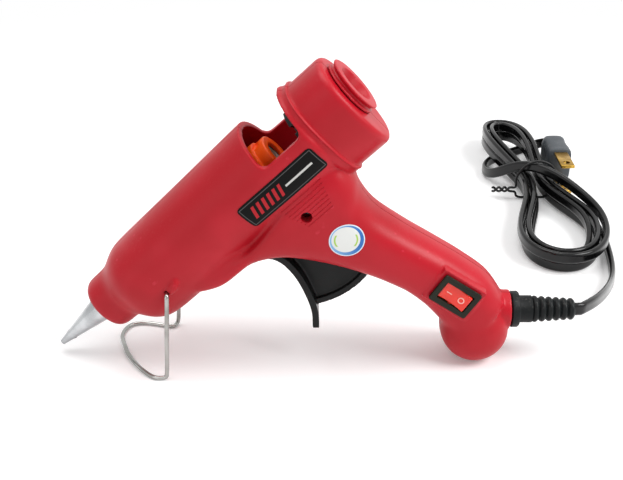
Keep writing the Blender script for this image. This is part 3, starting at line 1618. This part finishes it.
@dataclass
class Feed(Assembly):
    """The orange carriage, the black stick guide and the stepped entry ring."""

    front: float = 93.716
    length: float = 13.4
    radius: float = 7.0
    flange: float = 7.8
    pin_at: float = 98.116
    flange_ends: Row = (6.6, 9.0)  # behind the carriage's front
    bore: Row = (4.2, 5.5, 1.4)  # radius at the ends, radius inside, end wall
    lug: Row = (4.6, 2.7, 3.9, 5.8, 14.0)  # length, inner and outer side, top and foot
    hook: Row = (0.9, 12.4)  # radius and drop of the spring's bar
    pin: Row = (1.6, 5.8, 12.3)  # radius, inner and outer end
    collar: Row = (9.0, 5.4, 4.1, 3.0, 2.5)  # flange, tube, bore, flange's length, inset
    tooth: Row = (1.4, 1.3, 5.7)  # depth, half width and inner end of a notch
    entry: Row = (9.9, 8.9, 7.4, 4.7, 6.6, 2.9, 2.1)  # rib, step, spigot, bore, mouth, length, inset

    def carriage(self) -> Form:
        """The carriage with its flanges, pins, lug and notch.

        Returns:
            The solid.
        """
        rear = self.front + self.length
        flange_at, flange_end = [self.front + behind for behind in self.flange_ends]
        mouth, bore, wall = self.bore
        tube = lathe("carriage_moulded", [
            (self.radius, self.front), (self.radius, flange_at),
            (self.flange, flange_at), (self.flange, flange_end),
            (self.radius, flange_end), (self.radius, rear), (mouth, rear), (mouth, rear - wall),
            (bore, rear - wall), (bore, self.front + wall),
            (mouth, self.front + wall), (mouth, self.front),
        ])
        long, inner, outer, high, low = self.lug
        lug = rear - FIT - long
        hook, hook_drop = self.hook
        pin, pin_start, pin_end = self.pin
        forms = [tube, rod("hook", hook, (-3.0, 3.0), lug + long / 2, -hook_drop)]
        for side in (-1, 1):
            forms.append(rod("pin", pin, (side * pin_start, side * pin_end), self.pin_at, 0))
            cheek = (side * inner, side * outer)
            forms.append(cuboid("cheek", (lug, lug + long), cheek, (-low, -high)))
        notch = cuboid("notch", (flange_end, flange_end + 2.2), (-2.2, 2.2), (6.0, 9.0))
        return united(forms).cut(notch).softened(0.26, 2)

    def guide(self) -> Form:
        """The collar that the stick comes out of, with six notches.

        Returns:
            The solid.
        """
        flange, tube, bore, long, inset = self.collar
        front, end = LAYOUT.block_face - FIT - long, LAYOUT.block_end - inset
        collar = lathe("guide_collar", [
            (flange, front), (flange, front + long), (tube, front + long), (tube, end),
            (bore, end), (bore, front),
        ])
        deep, half, inner = self.tooth
        for k in range(6):
            tooth = cuboid("tooth", (front - 1, front + deep), (-half, half), (inner, flange + 1))
            collar.cut(tooth.moved(Matrix.Rotation(k * math.pi / 3, 4, "X")))
        return collar.softened(0.28, 2)

    def ring(self) -> Form:
        """The entry ring with its steps.

        Returns:
            The solid.
        """
        rib, step, spigot, bore, mouth, long, inset = self.entry
        inside, outside = LAYOUT.block_end - inset, LAYOUT.block_end + FIT
        rows = [(spigot, inside), (spigot, outside)]
        for i in range(6):
            rows.append((rib if i % 4 < 2 else step, outside + long * i / 5))
        rows += [(mouth, outside + long), (bore, outside), (bore, inside)]
        return lathe("entry_ring_moulded", rows, 96).softened(0.26, 2)

    def build(self) -> None:
        """Builds the three pieces."""
        body = Body.CARRIAGE
        self.show(self.carriage(), "Orange Plastic", Slot.CARRIAGE, body, ("carriage",))
        self.show(self.guide(), "Black Plastic", Slot.BLACK, nodes=("stick_guide",))
        self.show(self.ring(), "Red Casing Plastic", Slot.SHELL, nodes=("entry_ring",))


# ---- Trigger and stand


@dataclass
class Trigger(Assembly):
    """The trigger: curved finger blade, webbed sector, hub with its bar and two slotted arms."""

    reach: float = 37.1
    blade: float = 2.3
    width: float = 13.0
    sector: float = 29.7
    rim: float = 2.2
    rim_wide: float = 6.4
    web: float = 3.2
    travel: float = 24.0
    drop: float = 23.6
    arm: tuple[float, float] = (8.2, 10.0)
    finger_shares: Sequence[Row] = (
        (-0.480, -0.332), (-0.404, -0.299), (-0.259, -0.250), (-0.150, -0.288), (-0.030, -0.418),
        (0.073, -0.615), (0.137, -0.811), (0.148, -0.989),
    )

    def finger(self) -> Form:
        """The blade and the sector behind it.

        Returns:
            The solid.
        """
        front = smooth_line([(x * self.reach, z * self.reach, 0) for x, z in self.finger_shares], 8)
        behind = []
        for i, point in enumerate(front):
            along = (front[min(i + 1, len(front) - 1)] - front[max(i - 1, 0)]).normalized()
            behind.append((point.x - along.y * self.blade, point.y + along.x * self.blade))
        outline = [(p.x, p.y) for p in front] + behind[::-1]
        arcs = {}
        for radius in (self.sector, self.sector - self.rim / 2, self.sector - self.rim):
            angles = [math.radians(-76 + 54 * k / 40) for k in range(41)]
            arcs[radius] = [(radius * math.cos(a), radius * math.sin(a)) for a in angles]
        edge = [(p.x + self.blade / 2, p.y) for p in front[24:-8]]
        web = [(0, 3.3), (-3.3, 0)] + edge + arcs[self.sector - self.rim / 2]
        hoop = arcs[self.sector] + arcs[self.sector - self.rim][::-1]
        half = self.width / 2
        return united([
            plate("trigger_moulded", outline, -half, half),
            plate("web", web, -self.web / 2, self.web / 2),
            plate("hoop", hoop, -self.rim_wide / 2, self.rim_wide / 2),
        ])

    def arms(self) -> Form:
        """The two arms that carry the carriage's pins in their slots.

        Returns:
            Both arms as one solid.
        """
        high = self.drop / math.cos(math.radians(self.travel / 2))
        forms = []
        for side in (-1, 1):
            across = (side * self.arm[0], side * self.arm[1])
            through = (side * (self.arm[0] - 1), side * (self.arm[1] + 1))
            arm = united([
                rod("arm", 3.6, across, 0, 0), rod("arm", 3.6, across, 0, high),
                cuboid("arm", (-3.6, 3.6), across, (0, high)),
            ])
            slot = united([
                rod("slot", 1.9, through, 0, high + FIT), rod("slot", 1.9, through, 0, self.drop - FIT),
                cuboid("slot", (-1.9, 1.9), through, (self.drop - FIT, high + FIT)),
            ])
            forms.append(arm.cut(slot))
        lean = Matrix.Rotation(math.radians(self.travel / 2 - LAYOUT.climb), 4, "Y")
        return united(forms).moved(lean)

    def build(self) -> None:
        """Builds the trigger."""
        outer = self.arm[1]
        hub, bar = rod("hub", 4.5, (-4.5, 4.5), 0, 0), rod("bar", 3.3, (-outer, outer), 0, 0)
        form = united([self.finger(), hub, bar])
        form.joined(self.arms()).softened(0.32, 3).cut(rod("bore", 1.8, (-20, 20), 0, 0))
        place = LAYOUT.gun @ LAYOUT.local(93.1, -self.drop, LAYOUT.climb)
        self.show(form, "Black Plastic", Slot.BLACK, Body.TRIGGER, ("trigger",), place)


@dataclass
class WireStand(Assembly):
    """The bent wire that the barrel stands on."""

    wire: float = 0.75
    legs: float = 17.48
    lean: float = 1.9
    depth: float = 19.6
    end: float = 12.8
    bend: float = 1.5
    lift: float = 0.06
    loop_shares: Sequence[Row] = (
        (0.20, -0.99), (0.48, -0.71), (0.77, -0.22), (0.92, 0.20), (1.00, 0.50), (0.98, 0.74),
        (0.90, 0.91), (0.77, 0.99), (0.60, 1.00), (0.42, 0.96), (0.22, 0.90), (0.08, 0.88),
    )

    def build(self) -> None:
        """Builds the wire from one hole of the barrel round to the other."""
        at, up = Casing.stand_at
        pivot = LAYOUT.gun @ Vector((at, 0, up))
        foot = self.wire + self.lift - pivot.z
        nip = self.bend / 4

        def leg(side: int) -> list[Row]:
            """One leg, from its hole down to the loop.

            Args:
                side: Its side on Y, 1 or -1.

            Returns:
                Places that the wire goes through.
            """
            out = side * self.legs
            return [
                (0, side * self.end, 0), (0, out - side * self.bend, 0), (0, out - side * nip, -nip),
                (0, out, -self.bend), (-self.lean / 2, out, foot / 2),
                (-self.lean, out, foot + self.bend), (-self.lean - nip, out, foot + nip),
            ]

        loop = [
            (-self.lean - ahead * self.depth, side * self.legs, foot)
            for ahead, side in self.loop_shares
        ]
        line = smooth_line(leg(-1) + loop + leg(1)[::-1], 9)
        form = sweep("stand_wire", line, disc(self.wire, 16)).bevelled(0.2)
        place = Matrix.Translation(pivot)
        self.show(form, "Bright Wire", Slot.WIRE, Body.STAND, ("wire_stand",), place, crease=60)


# ---- Switch and lead entry


@dataclass
class SwitchUnit(Assembly):
    """The rocker switch in the handle, with its bezel and marks."""

    turn: float = 76.9
    land: float = 12.2
    tilt: float = 9.0
    axle_deep: float = 1.6
    bezel: Row = (7.5, 5.25, 1.2, 0.8)  # half length and height, thickness, corner
    box: Row = (6.5, 4.2, 9.4)  # half length and height, depth
    pocket: Row = (5.6, 3.3, 5.6)  # half length and height, depth
    rocker_shares: Sequence[Row] = (
        (-1, -1), (-0.5, -0.62), (0, -0.5), (0.5, -0.62), (1, -1), (0.94, 0.75), (0.62, 1.16),
        (0.3, 1.36),
        (0, 1.42), (-0.3, 1.36), (-0.62, 1.16), (-0.94, 0.75),
    )

    @staticmethod
    def place() -> tuple[float, float]:
        """Where the switch sits, along the barrel and up."""
        return LAYOUT.rim + 0.146 * LAYOUT.drop, -0.788 * LAYOUT.drop

    def housing(self) -> Form:
        """The bezel and the box behind it, hollow for the rocker.

        Returns:
            The solid.
        """
        face = -self.land - FIT
        x, z, thick, corner = self.bezel
        front = face - thick
        outline = rounded([(-x, -z), (x, -z), (x, z), (-x, z)], corner)
        bezel = plate("switch_bezel", outline, front, face)
        x, z, deep = self.box
        bezel.joined(cuboid("box", (-x, x), (face - thick / 2, face + deep), (-z, z)))
        x, z, deep = self.pocket
        pocket = cuboid("pocket", (-x, x), (front - 1, front + deep), (-z, z))
        seat = Matrix.Translation((0, front + self.axle_deep, 0))
        axle = core("axle", 1.0, -4.0, 4.0).moved(seat @ Matrix.Rotation(math.pi / 2, 4, "Y"))
        return bezel.softened(0.2, 2).cut(pocket, axle)

    def rocker(self) -> tuple[Form, Matrix]:
        """The rocker in its own frame, and where it sits.

        Returns:
            The rocker, and its seat in the switch's frame.
        """
        curve = [Vector((x * 5.2, z * 1.6)) for x, z in self.rocker_shares]
        outline = rounded([(p.x, -p.y) for p in curve], 0.5, 3)
        block = plate("rocker_moulded", outline, -3.0, 3.0)
        block.moved(Matrix.Rotation(math.pi / 2, 4, "X")).softened(0.16, 2)
        block.joined(core("axle", 0.7, -3.7, 3.7).moved(Matrix.Rotation(math.pi / 2, 4, "Y")))
        seat = Matrix.Translation((0, -self.land - FIT - self.bezel[2] + self.axle_deep, 0))
        return block, seat @ Matrix.Rotation(math.radians(-self.tilt), 4, "Z")

    @staticmethod
    def mark(
        name: str, skin: BVHTree, middle: float, outline: Callable[[float], Row], closed: bool
    ) -> Form:
        """A fine raised line that follows the rocker's face.

        Args:
            name: Name of the form.
            skin: Surface of the rocker.
            middle: Middle of the mark along the rocker.
            outline: Place on the line by its share.
            closed: Whether the line is a ring.

        Returns:
            The line as a solid.
        """
        line = []
        for i in range(41):
            x, z = outline(i / 40)
            line.append(Casing.touch(skin, middle + x, z, -1))
        if closed:
            line[-1] = line[0]
        return sweep(name, line, [(a * 0.13, b * 0.19) for a, b in disc(1.0, 10)])

    def build(self) -> None:
        """Builds the housing, the rocker and its two marks."""
        place = LAYOUT.gun @ LAYOUT.local(*self.place(), self.turn)
        self.show(self.housing(), "Bezel Plastic", Slot.BLACK, nodes=("switch_housing",), matrix=place)
        rocker, seat = self.rocker()
        skin = rocker.skin()

        def circle(share: float) -> Row:
            """A place on the ring of the mark, by its share."""
            turned = 2 * math.pi * share
            return 0.95 * math.cos(turned), 0.95 * math.sin(turned)

        ring = self.mark("mark_off", skin, 2.5, circle, True)
        bar = self.mark("mark_on", skin, -2.3, lambda t: (2.0 * t - 1.0, 0.0), False)
        self.show(rocker, "Rocker Plastic", Slot.ROCKER, Body.ROCKER, ("switch_rocker",), place @ seat)
        for form in (ring, bar):
            self.show(form, "Rocker Mark", Slot.ROCKER, Body.ROCKER, matrix=place @ seat)


@dataclass
class LeadEntry(Assembly):
    """The ribbed strain relief where the lead leaves the handle."""

    inside: float = 6.6
    start: float = 12.3
    length: float = 22.7
    plain: float = 4.8
    tail: float = 3.8
    ribs: int = 6
    groove: float = 0.9

    def build(self) -> None:
        """Builds the relief with rounded ribs."""
        end = self.start + self.length
        rib_start = self.start + 2.9 + 4.6
        pitch = (end - rib_start) / self.ribs
        neck = self.inside + 1.7
        rows = [(0, self.inside), (5.9, self.inside), (5.9, neck), (4.2, neck), (4.2, self.start)]
        rows += [(6.0, self.start), (6.4, self.start + 0.4), (6.4, self.start + 2.4)]
        rows += [(6.0, self.start + 2.9), (5.0, self.start + 3.0), (self.plain, self.start + 3.6)]
        rows += [(self.plain, rib_start)]
        steps = 10
        for i in range(self.ribs):
            for k in range(steps):
                at = rib_start + pitch * (i + k / steps)
                full = self.plain + (self.tail - self.plain) * (at - rib_start) / (end - rib_start)
                wave = min(1.0, max(0.0, 1.6 * abs(math.sin(math.pi * (k / steps))) ** 0.5 - 0.62))
                rows.append((full - self.groove * (1 - wave), at))
        rows += [(self.tail - self.groove, end - 0.15), (self.tail - self.groove - 0.2, end), (0, end)]
        form = lathe("relief_ribbed", rows, 72).moved(LAYOUT.relief)
        self.show(form, "Relief Rubber", Slot.SOFT, nodes=("strain_relief",))


# ---- Lead, tie and plug


@dataclass
class Lead(Assembly):
    """The flat twin lead from the relief through its hank to the plug, and the tie round it."""

    width: float = 4.8
    thick: float = 2.5
    power: float = 3.0
    floor: float = 0.1
    loops: int = 4
    steps: int = 24
    pitch: float = 3.4
    rise: float = 5.4
    climb: float = 0.0625
    waist: float = 126.5
    draw_in: float = 0.016
    step: float = 2.0
    easing: int = 20
    held: int = 3
    plug: Row = (117.7, 171.4, 8.6)
    tie_place: Row = (126.5, 103.4, 9.9, 2.6, 3.6)  # along Y, middle, half width, corner, half crest
    tie_levels: Row = (0.8, 12.4, 19.0)  # foot, shoulder and top
    tie_wire: Row = (0.55, 0.9, 8.0)  # radius, half distance and length of the twist
    run_points: Sequence[Row] = (
        (97.5, 3.5, 17.4), (103.5, 13, 14.2), (110.5, 27, 9.4), (116.0, 40, 5.2), (119.8, 51, 3.0),
        (122.0, 62, 2.6),
    )
    hank_points: Sequence[Row] = (
        (122.6, 74, 0), (124.6, 86, 0), (123.6, 97, 0), (118.6, 108, 0.4), (113.2, 118, 1.0),
        (110.4, 128, 1.4),
        (110.0, 141, 2.6), (110.2, 154, 4.8), (109.6, 167, 5.8), (107.6, 179, 5.8),
        (104.6, 189.2, 4.2),
        (100.8, 195.8, 3.2), (96.0, 198.6, 2.8), (91.0, 197.2, 2.8), (87.2, 192.0, 3.4),
        (84.8, 183, 4.8),
        (84.2, 172, 5.8), (86.6, 159, 5.4), (91.2, 146, 3.4), (95.0, 136, 1.9), (96.4, 126, 1.4),
        (95.0, 112, 0.8), (90.6, 97, 0.2), (86.8, 83, 0), (86.2, 70, 0), (90.6, 59, 0),
        (99.6, 53.2, 0),
        (109.8, 54.4, 0), (118.2, 62.4, 0),
    )
    tail_points: Sequence[Row] = (
        (121.0, 68, 8.1), (124.2, 80, 8.6), (124.6, 93, 9.6), (119.6, 105.6, 11.8),
        (112.8, 116.4, 14.4),
        (105.4, 125, 15.8), (98.4, 130.8, 15.8), (92.8, 135.2, 12.6), (88.0, 139.4, 7.6),
        (84.6, 144.4, 4.0),
        (82.4, 151.6, 2.6), (83.8, 160.2, 2.6), (89.8, 167.6, 2.6), (98.4, 174.0, 2.6),
        (106.8, 179.4, 2.7),
        (113.4, 181.6, 4.6),
    )

    def hank(self) -> list[Vector]:
        """Middle line of the hank, in and out again in two layers.

        Returns:
            Places along the line.
        """
        outer = [Vector(p) for p in self.hank_points]
        line = []
        for i in range(self.loops * self.steps - 1):
            turned = (i + 0.5) / self.steps
            share = turned % 1
            point = curve_point(outer, share, closed=True)
            ahead = curve_point(outer, (share + 1e-4) % 1, closed=True)
            along = ahead - curve_point(outer, (share - 1e-4) % 1, closed=True)
            inward = Vector((-along.y, along.x, 0)).normalized()
            rise = (turned - self.loops / 2 + self.climb) / (2 * self.climb)
            t = min(1.0, max(0.0, rise))
            layer = t * t * (3 - 2 * t)
            point += inward * self.pitch * min(turned, self.loops - turned)
            point.z += self.floor + self.width / 2 + self.rise * layer
            point.y -= self.draw_in * max(0.0, point.y - self.waist)
            line.append(point)
        return line

    def line(self) -> list[Vector]:
        """Middle line of the whole lead, from inside the relief to inside the plug.

        Returns:
            Places along the line.
        """
        relief = LAYOUT.gun @ LAYOUT.relief
        out = [relief @ Vector((LAYOUT.relief_end + over, 0, 0)) for over in (-1.5, 2.7)]
        at, far, up = self.plug
        end = [Vector((at, far + 4.8, up)), Vector((at, far - 1.2, up))]
        run = [Vector(p) for p in self.run_points]
        tail = [Vector(p) for p in self.tail_points]
        line = self.eased_line(smooth_line([*out, *run, *self.hank(), *tail, *end], 7))
        return [Vector((p.x, p.y, max(p.z, self.floor + self.width / 2))) for p in line]

    def eased_line(self, line: Sequence[Vector]) -> list[Vector]:
        """The line in even steps, with its tightest bends opened as a stiff lead would.

        Args:
            line: The line as it was laid.

        Returns:
            The eased line, with both ends where they were.
        """
        even = [line[0]]
        for point in line[1:]:
            while (point - even[-1]).length >= self.step:
                even.append(even[-1] + (point - even[-1]).normalized() * self.step)
        even.append(line[-1])
        for _ in range(self.easing):
            inner = even[self.held : -self.held]
            before = even[self.held - 1 : -self.held - 1]
            after = even[self.held + 1 : len(even) - self.held + 1]
            rows = zip(before, inner, after)
            even[self.held : -self.held] = [p / 2 + (a + b) / 4 for a, p, b in rows]
        return even

    def section(self) -> list[tuple[float, float]]:
        """Outline of the twin lead: two round cores with a shallow groove between them.

        Returns:
            Places across and up from the middle.
        """
        points = []
        for t in turns(24):
            up = self.width / 2 * squared(math.sin(t), self.power)
            waist = 1 - 0.22 * math.exp(-((up / 0.6) ** 2))
            points.append((self.thick / 2 * squared(math.cos(t), 2.5) * waist, up))
        return points

    def build(self, pieces_on_it: Sequence[bpy.types.Object]) -> None:
        """Builds the lead and its tie, and states what the lead is.

        Args:
            pieces_on_it: The pieces of the plug.
        """
        line = self.line()
        tie = self.tie()
        lead = self.show(
            sweep("lead", line, self.section(), upright=True), "Lead Sheath", Slot.SHEATH,
            nodes=("cord_run", "cord_hank", "cord_tail"), matrix=WORLD, crease=70,
        )
        relief = LAYOUT.gun @ LAYOUT.relief

    def tie(self) -> bpy.types.Object:
        """Builds the tie round the waist of the hank, its ends twisted together.

        Returns:
            The piece.
        """
        at, middle, half, corner, crest = self.tie_place
        low, shoulder, top = self.tie_levels
        wire, apart, twist = self.tie_wire
        left, right = middle - half, middle + half
        nip = corner * (1 - math.sqrt(0.5))
        hoop = [
            (left, at, low + corner), (left + nip, at, low + nip), (left + corner, at, low),
            (left + 1.5 * corner, at, low), (right - 1.5 * corner, at, low), (right - corner, at, low),
            (right - nip, at, low + nip), (right, at, low + corner), (right, at, shoulder - corner),
            (right - nip, at, shoulder), (middle + crest + corner, at, top - corner),
            (middle + crest, at, top - nip), (middle, at, top), (middle - crest, at, top - nip),
            (middle - crest - corner, at, top - corner), (left + nip, at, shoulder),
            (left, at, shoulder - corner), (left, at, low + corner + 3 * wire + apart),
        ]

        def strand(phase: float) -> list[Row]:
            """One of the two twisted ends.

            Args:
                phase: Angle that it starts from.

            Returns:
                Places that the wire goes through.
            """
            made = []
            for i in range(13):
                angle = phase + 3 * math.pi * i / 12
                made.append((
                    left - corner - twist * i / 12, at + apart * math.cos(angle),
                    low + corner + wire + apart * (1 + math.sin(angle)),
                ))
            return made

        line = smooth_line(strand(-math.pi / 2)[::-1] + hoop + strand(math.pi / 2), 6)
        form = sweep("tie_twisted", line, disc(wire, 14)).bevelled(0.15)
        return self.show(form, "Tie Sheath", Slot.TIE, nodes=("twist_tie",), matrix=WORLD, crease=60)


@dataclass
class Plug(Assembly):
    """The moulded plug and its two flat blades."""

    at: float = 117.7
    far: float = 171.4
    thick: float = 11.0
    high: float = 17.0
    long: float = 20.0
    relief: float = 6.0
    apart: float = 12.7

    stations: Sequence[Row] = (
        (0.0, 3.0, 3.1, 3.0), (0.5, 3.2, 3.2, 3.0), (3.0, 3.5, 3.9, 3.2), (5.4, 4.2, 5.2, 3.4),
        (7.0, 5.0, 7.2, 3.8), (8.6, 5.4, 8.3, 4.4), (11.0, 5.5, 8.5, 4.8), (14.0, 5.1, 8.5, 4.8),
        (18.0, 5.1, 8.5, 4.8), (21.0, 5.5, 8.5, 4.8), (25.2, 5.5, 8.5, 4.8), (25.8, 5.3, 8.3, 4.8),
        (26.0, 4.9, 7.9, 4.8),
    )  # back from the lead, half width, height, squareness
    ribs: Row = (13.4, 1.9, 5.45, 0.35, 5.6)  # first, spacing, half width, thickness and height
    blade: Row = (3.15, 16.0, 0.75)  # half width, length and half thickness
    hole: Row = (1.6, 12.2)  # radius and place from the plug's face

    def build(self) -> list[bpy.types.Object]:
        """Builds the plug.

        Returns:
            Its pieces.
        """
        middle = self.high / 2 + 0.1
        rings = []
        for k in range(73):
            back = self.stations[-1][0] * k / 72
            wide, tall, power = eased(self.stations, back)
            rings.append([
                Vector((
                    self.at + wide * squared(math.cos(t), power), self.far - back,
                    middle + tall * squared(math.sin(t), power),
                )) for t in turns(64)
            ])
        body = loft("plug_moulded", rings)
        first, spacing, out, thin, tall = self.ribs
        for side in (-1, 1):
            for k in range(4):
                y = self.far - first - spacing * k
                across, upward = (self.at, self.at + side * out), (middle - tall, middle + tall)
                body.joined(cuboid("rib", across, (y - thin, y + thin), upward))
        pieces = [
            self.show(body, "Plug Plastic", Slot.PLUG, nodes=("plug_body",), matrix=WORLD, crease=45)
        ]
        face = self.far - self.relief - self.long - FIT
        half, long, thin = self.blade
        radius, behind = self.hole
        for name, side in (("plug_blade_low", -1), ("plug_blade_high", 1)):
            up = middle + side * self.apart / 2
            across = (self.at - half, self.at + half)
            blade = cuboid(f"{name}_shaped", across, (face - long, face), (up - thin, up + thin))
            seat = Matrix.Translation((self.at, face - behind, up))
            hole = core("hole", radius, -2, 2, 32).moved(seat @ Matrix.Rotation(math.pi / 2, 4, "Y"))
            blade = blade.bevelled(0.35, 3).cut(hole)
            pieces.append(self.show(blade, "Brass", Slot.BRASS, nodes=(name,), matrix=WORLD))
        return pieces


# ---- Studio


@dataclass
class Studio:
    """Camera at the photograph's angle, soft lamps, and a plain pale floor."""

    lens: float = 59.6
    target: tuple[float, float, float] = (-1.33, 0.0, 45.3)
    distance: float = 350.0
    elevation: float = 28.0
    air: float = 0.38
    near_floor: tuple[float, float] = (0.24, 0.5)
    floor: float = 6000.0
    lamps: Sequence[tuple[str, Row, float, float]] = (
        ("key", (0.56, -0.14, 0.56), 0.4, 4.8),
        ("top", (-0.15, 0.1, 0.75), 0.6, 3.4),
        ("fill", (-0.5, -0.5, 0.25), 0.5, 0.7),
    )

    def camera(self) -> None:
        """Places the camera."""
        data = bpy.data.cameras.new("camera")
        data.lens = self.lens
        data.sensor_width = 36.0
        data.clip_start = 0.01
        camera = bpy.data.objects.new("camera", data)
        tilt = math.radians(self.elevation)
        back = Vector((0, -math.cos(tilt), math.sin(tilt))) * self.distance
        camera.location = (Vector(self.target) + back) * MM
        camera.rotation_euler = (math.pi / 2 - tilt, 0, 0)
        bpy.context.scene.collection.objects.link(camera)
        bpy.context.scene.camera = camera

    def lamp(self, name: str, place: Row, size: float, power: float) -> None:
        """A soft square lamp that looks at the gun.

        Args:
            name: Name of the lamp.
            place: Where it hangs, in metres.
            size: Length of its side, in metres.
            power: Its power, in watts.
        """
        data = bpy.data.lights.new(name, "AREA")
        data.shape = "SQUARE"
        data.size = size
        data.energy = power
        lamp = bpy.data.objects.new(name, data)
        lamp.location = place
        aim = Vector((0.0, 0.02, 0.05)) - Vector(place)
        lamp.rotation_euler = aim.to_track_quat("-Z", "Y").to_euler()
        bpy.context.scene.collection.objects.link(lamp)

    @staticmethod
    def white(graph: Graph) -> Socket:
        """Share of the rays that see the plain white background.

        Args:
            graph: Where it writes.

        Returns:
            The share, 0 or 1.
        """
        path = graph.add("LightPath")
        seen = graph.sum("MAXIMUM", path.outputs["Is Camera Ray"], path.outputs["Is Glossy Ray"])
        return graph.sum("MAXIMUM", seen, path.outputs["Is Transmission Ray"])

    def surroundings(self) -> None:
        """Lights the air round the gun and lays the floor."""
        world = bpy.data.worlds.new("air")
        graph = emptied(world)
        strength = graph.ramp(self.white(graph), 0.0, 1.0, (self.air, 1.0))
        sky = graph.add("Background", {"Color": (1.0, 1.0, 1.0, 1.0), "Strength": strength})
        graph.add("OutputWorld", {"Surface": sky.outputs[0]})
        bpy.context.scene.world = world
        signs = ((-1, -1), (1, -1), (1, 1), (-1, 1))
        square = [Vector((self.floor * x, self.floor * y, 0)) for x, y in signs]
        floor = Form("floor", square, [(0, 1, 2, 3)]).moved(Matrix.Scale(MM, 4))
        material = bpy.data.materials.new("Pale Floor")
        graph = emptied(material)
        matt = graph.add("BsdfPrincipled", {"Base Color": (0.93, 0.93, 0.93, 1.0), "Roughness": 0.9})
        seen = self.white(graph)
        glow = graph.add("Emission", {"Strength": graph.ramp(seen, 0.0, 1.0, (0.0, 0.16))})
        near = graph.add("AddShader", {0: matt.outputs[0], 1: glow.outputs[0]})
        away = graph.add("VectorMath", {0: graph.add("TexCoord").outputs["Object"]}, operation="LENGTH")
        far = graph.product(seen, graph.ramp(away.outputs["Value"], *self.near_floor))
        backdrop = graph.add("Emission", {"Strength": 1.0})
        both = graph.add("MixShader", {0: far, 1: near.outputs[0], 2: backdrop.outputs[0]})
        graph.add("OutputMaterial", {"Surface": both.outputs[0]})
        floor.object.data.materials.append(material)

    def build(self) -> None:
        """Builds the studio."""
        bpy.context.scene.view_settings.view_transform = "Standard"
        self.camera()
        self.surroundings()
        for lamp in self.lamps:
            self.lamp(*lamp)


def main() -> None:
    """Builds the applicator and the studio."""
    logging.basicConfig(level=logging.INFO, format="%(message)s", stream=sys.stdout)
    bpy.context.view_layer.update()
    finishes = Finishes()
    Studio().build()
    on_lead = Plug(finishes).build()
    Lead(finishes).build(on_lead)
    Casing(finishes).build()
    for assembly in (HotEnd, Feed, Trigger, WireStand, SwitchUnit, LeadEntry):
        assembly(finishes).build()
    finishes.carry_over()


if __name__ == "__main__":
    main()
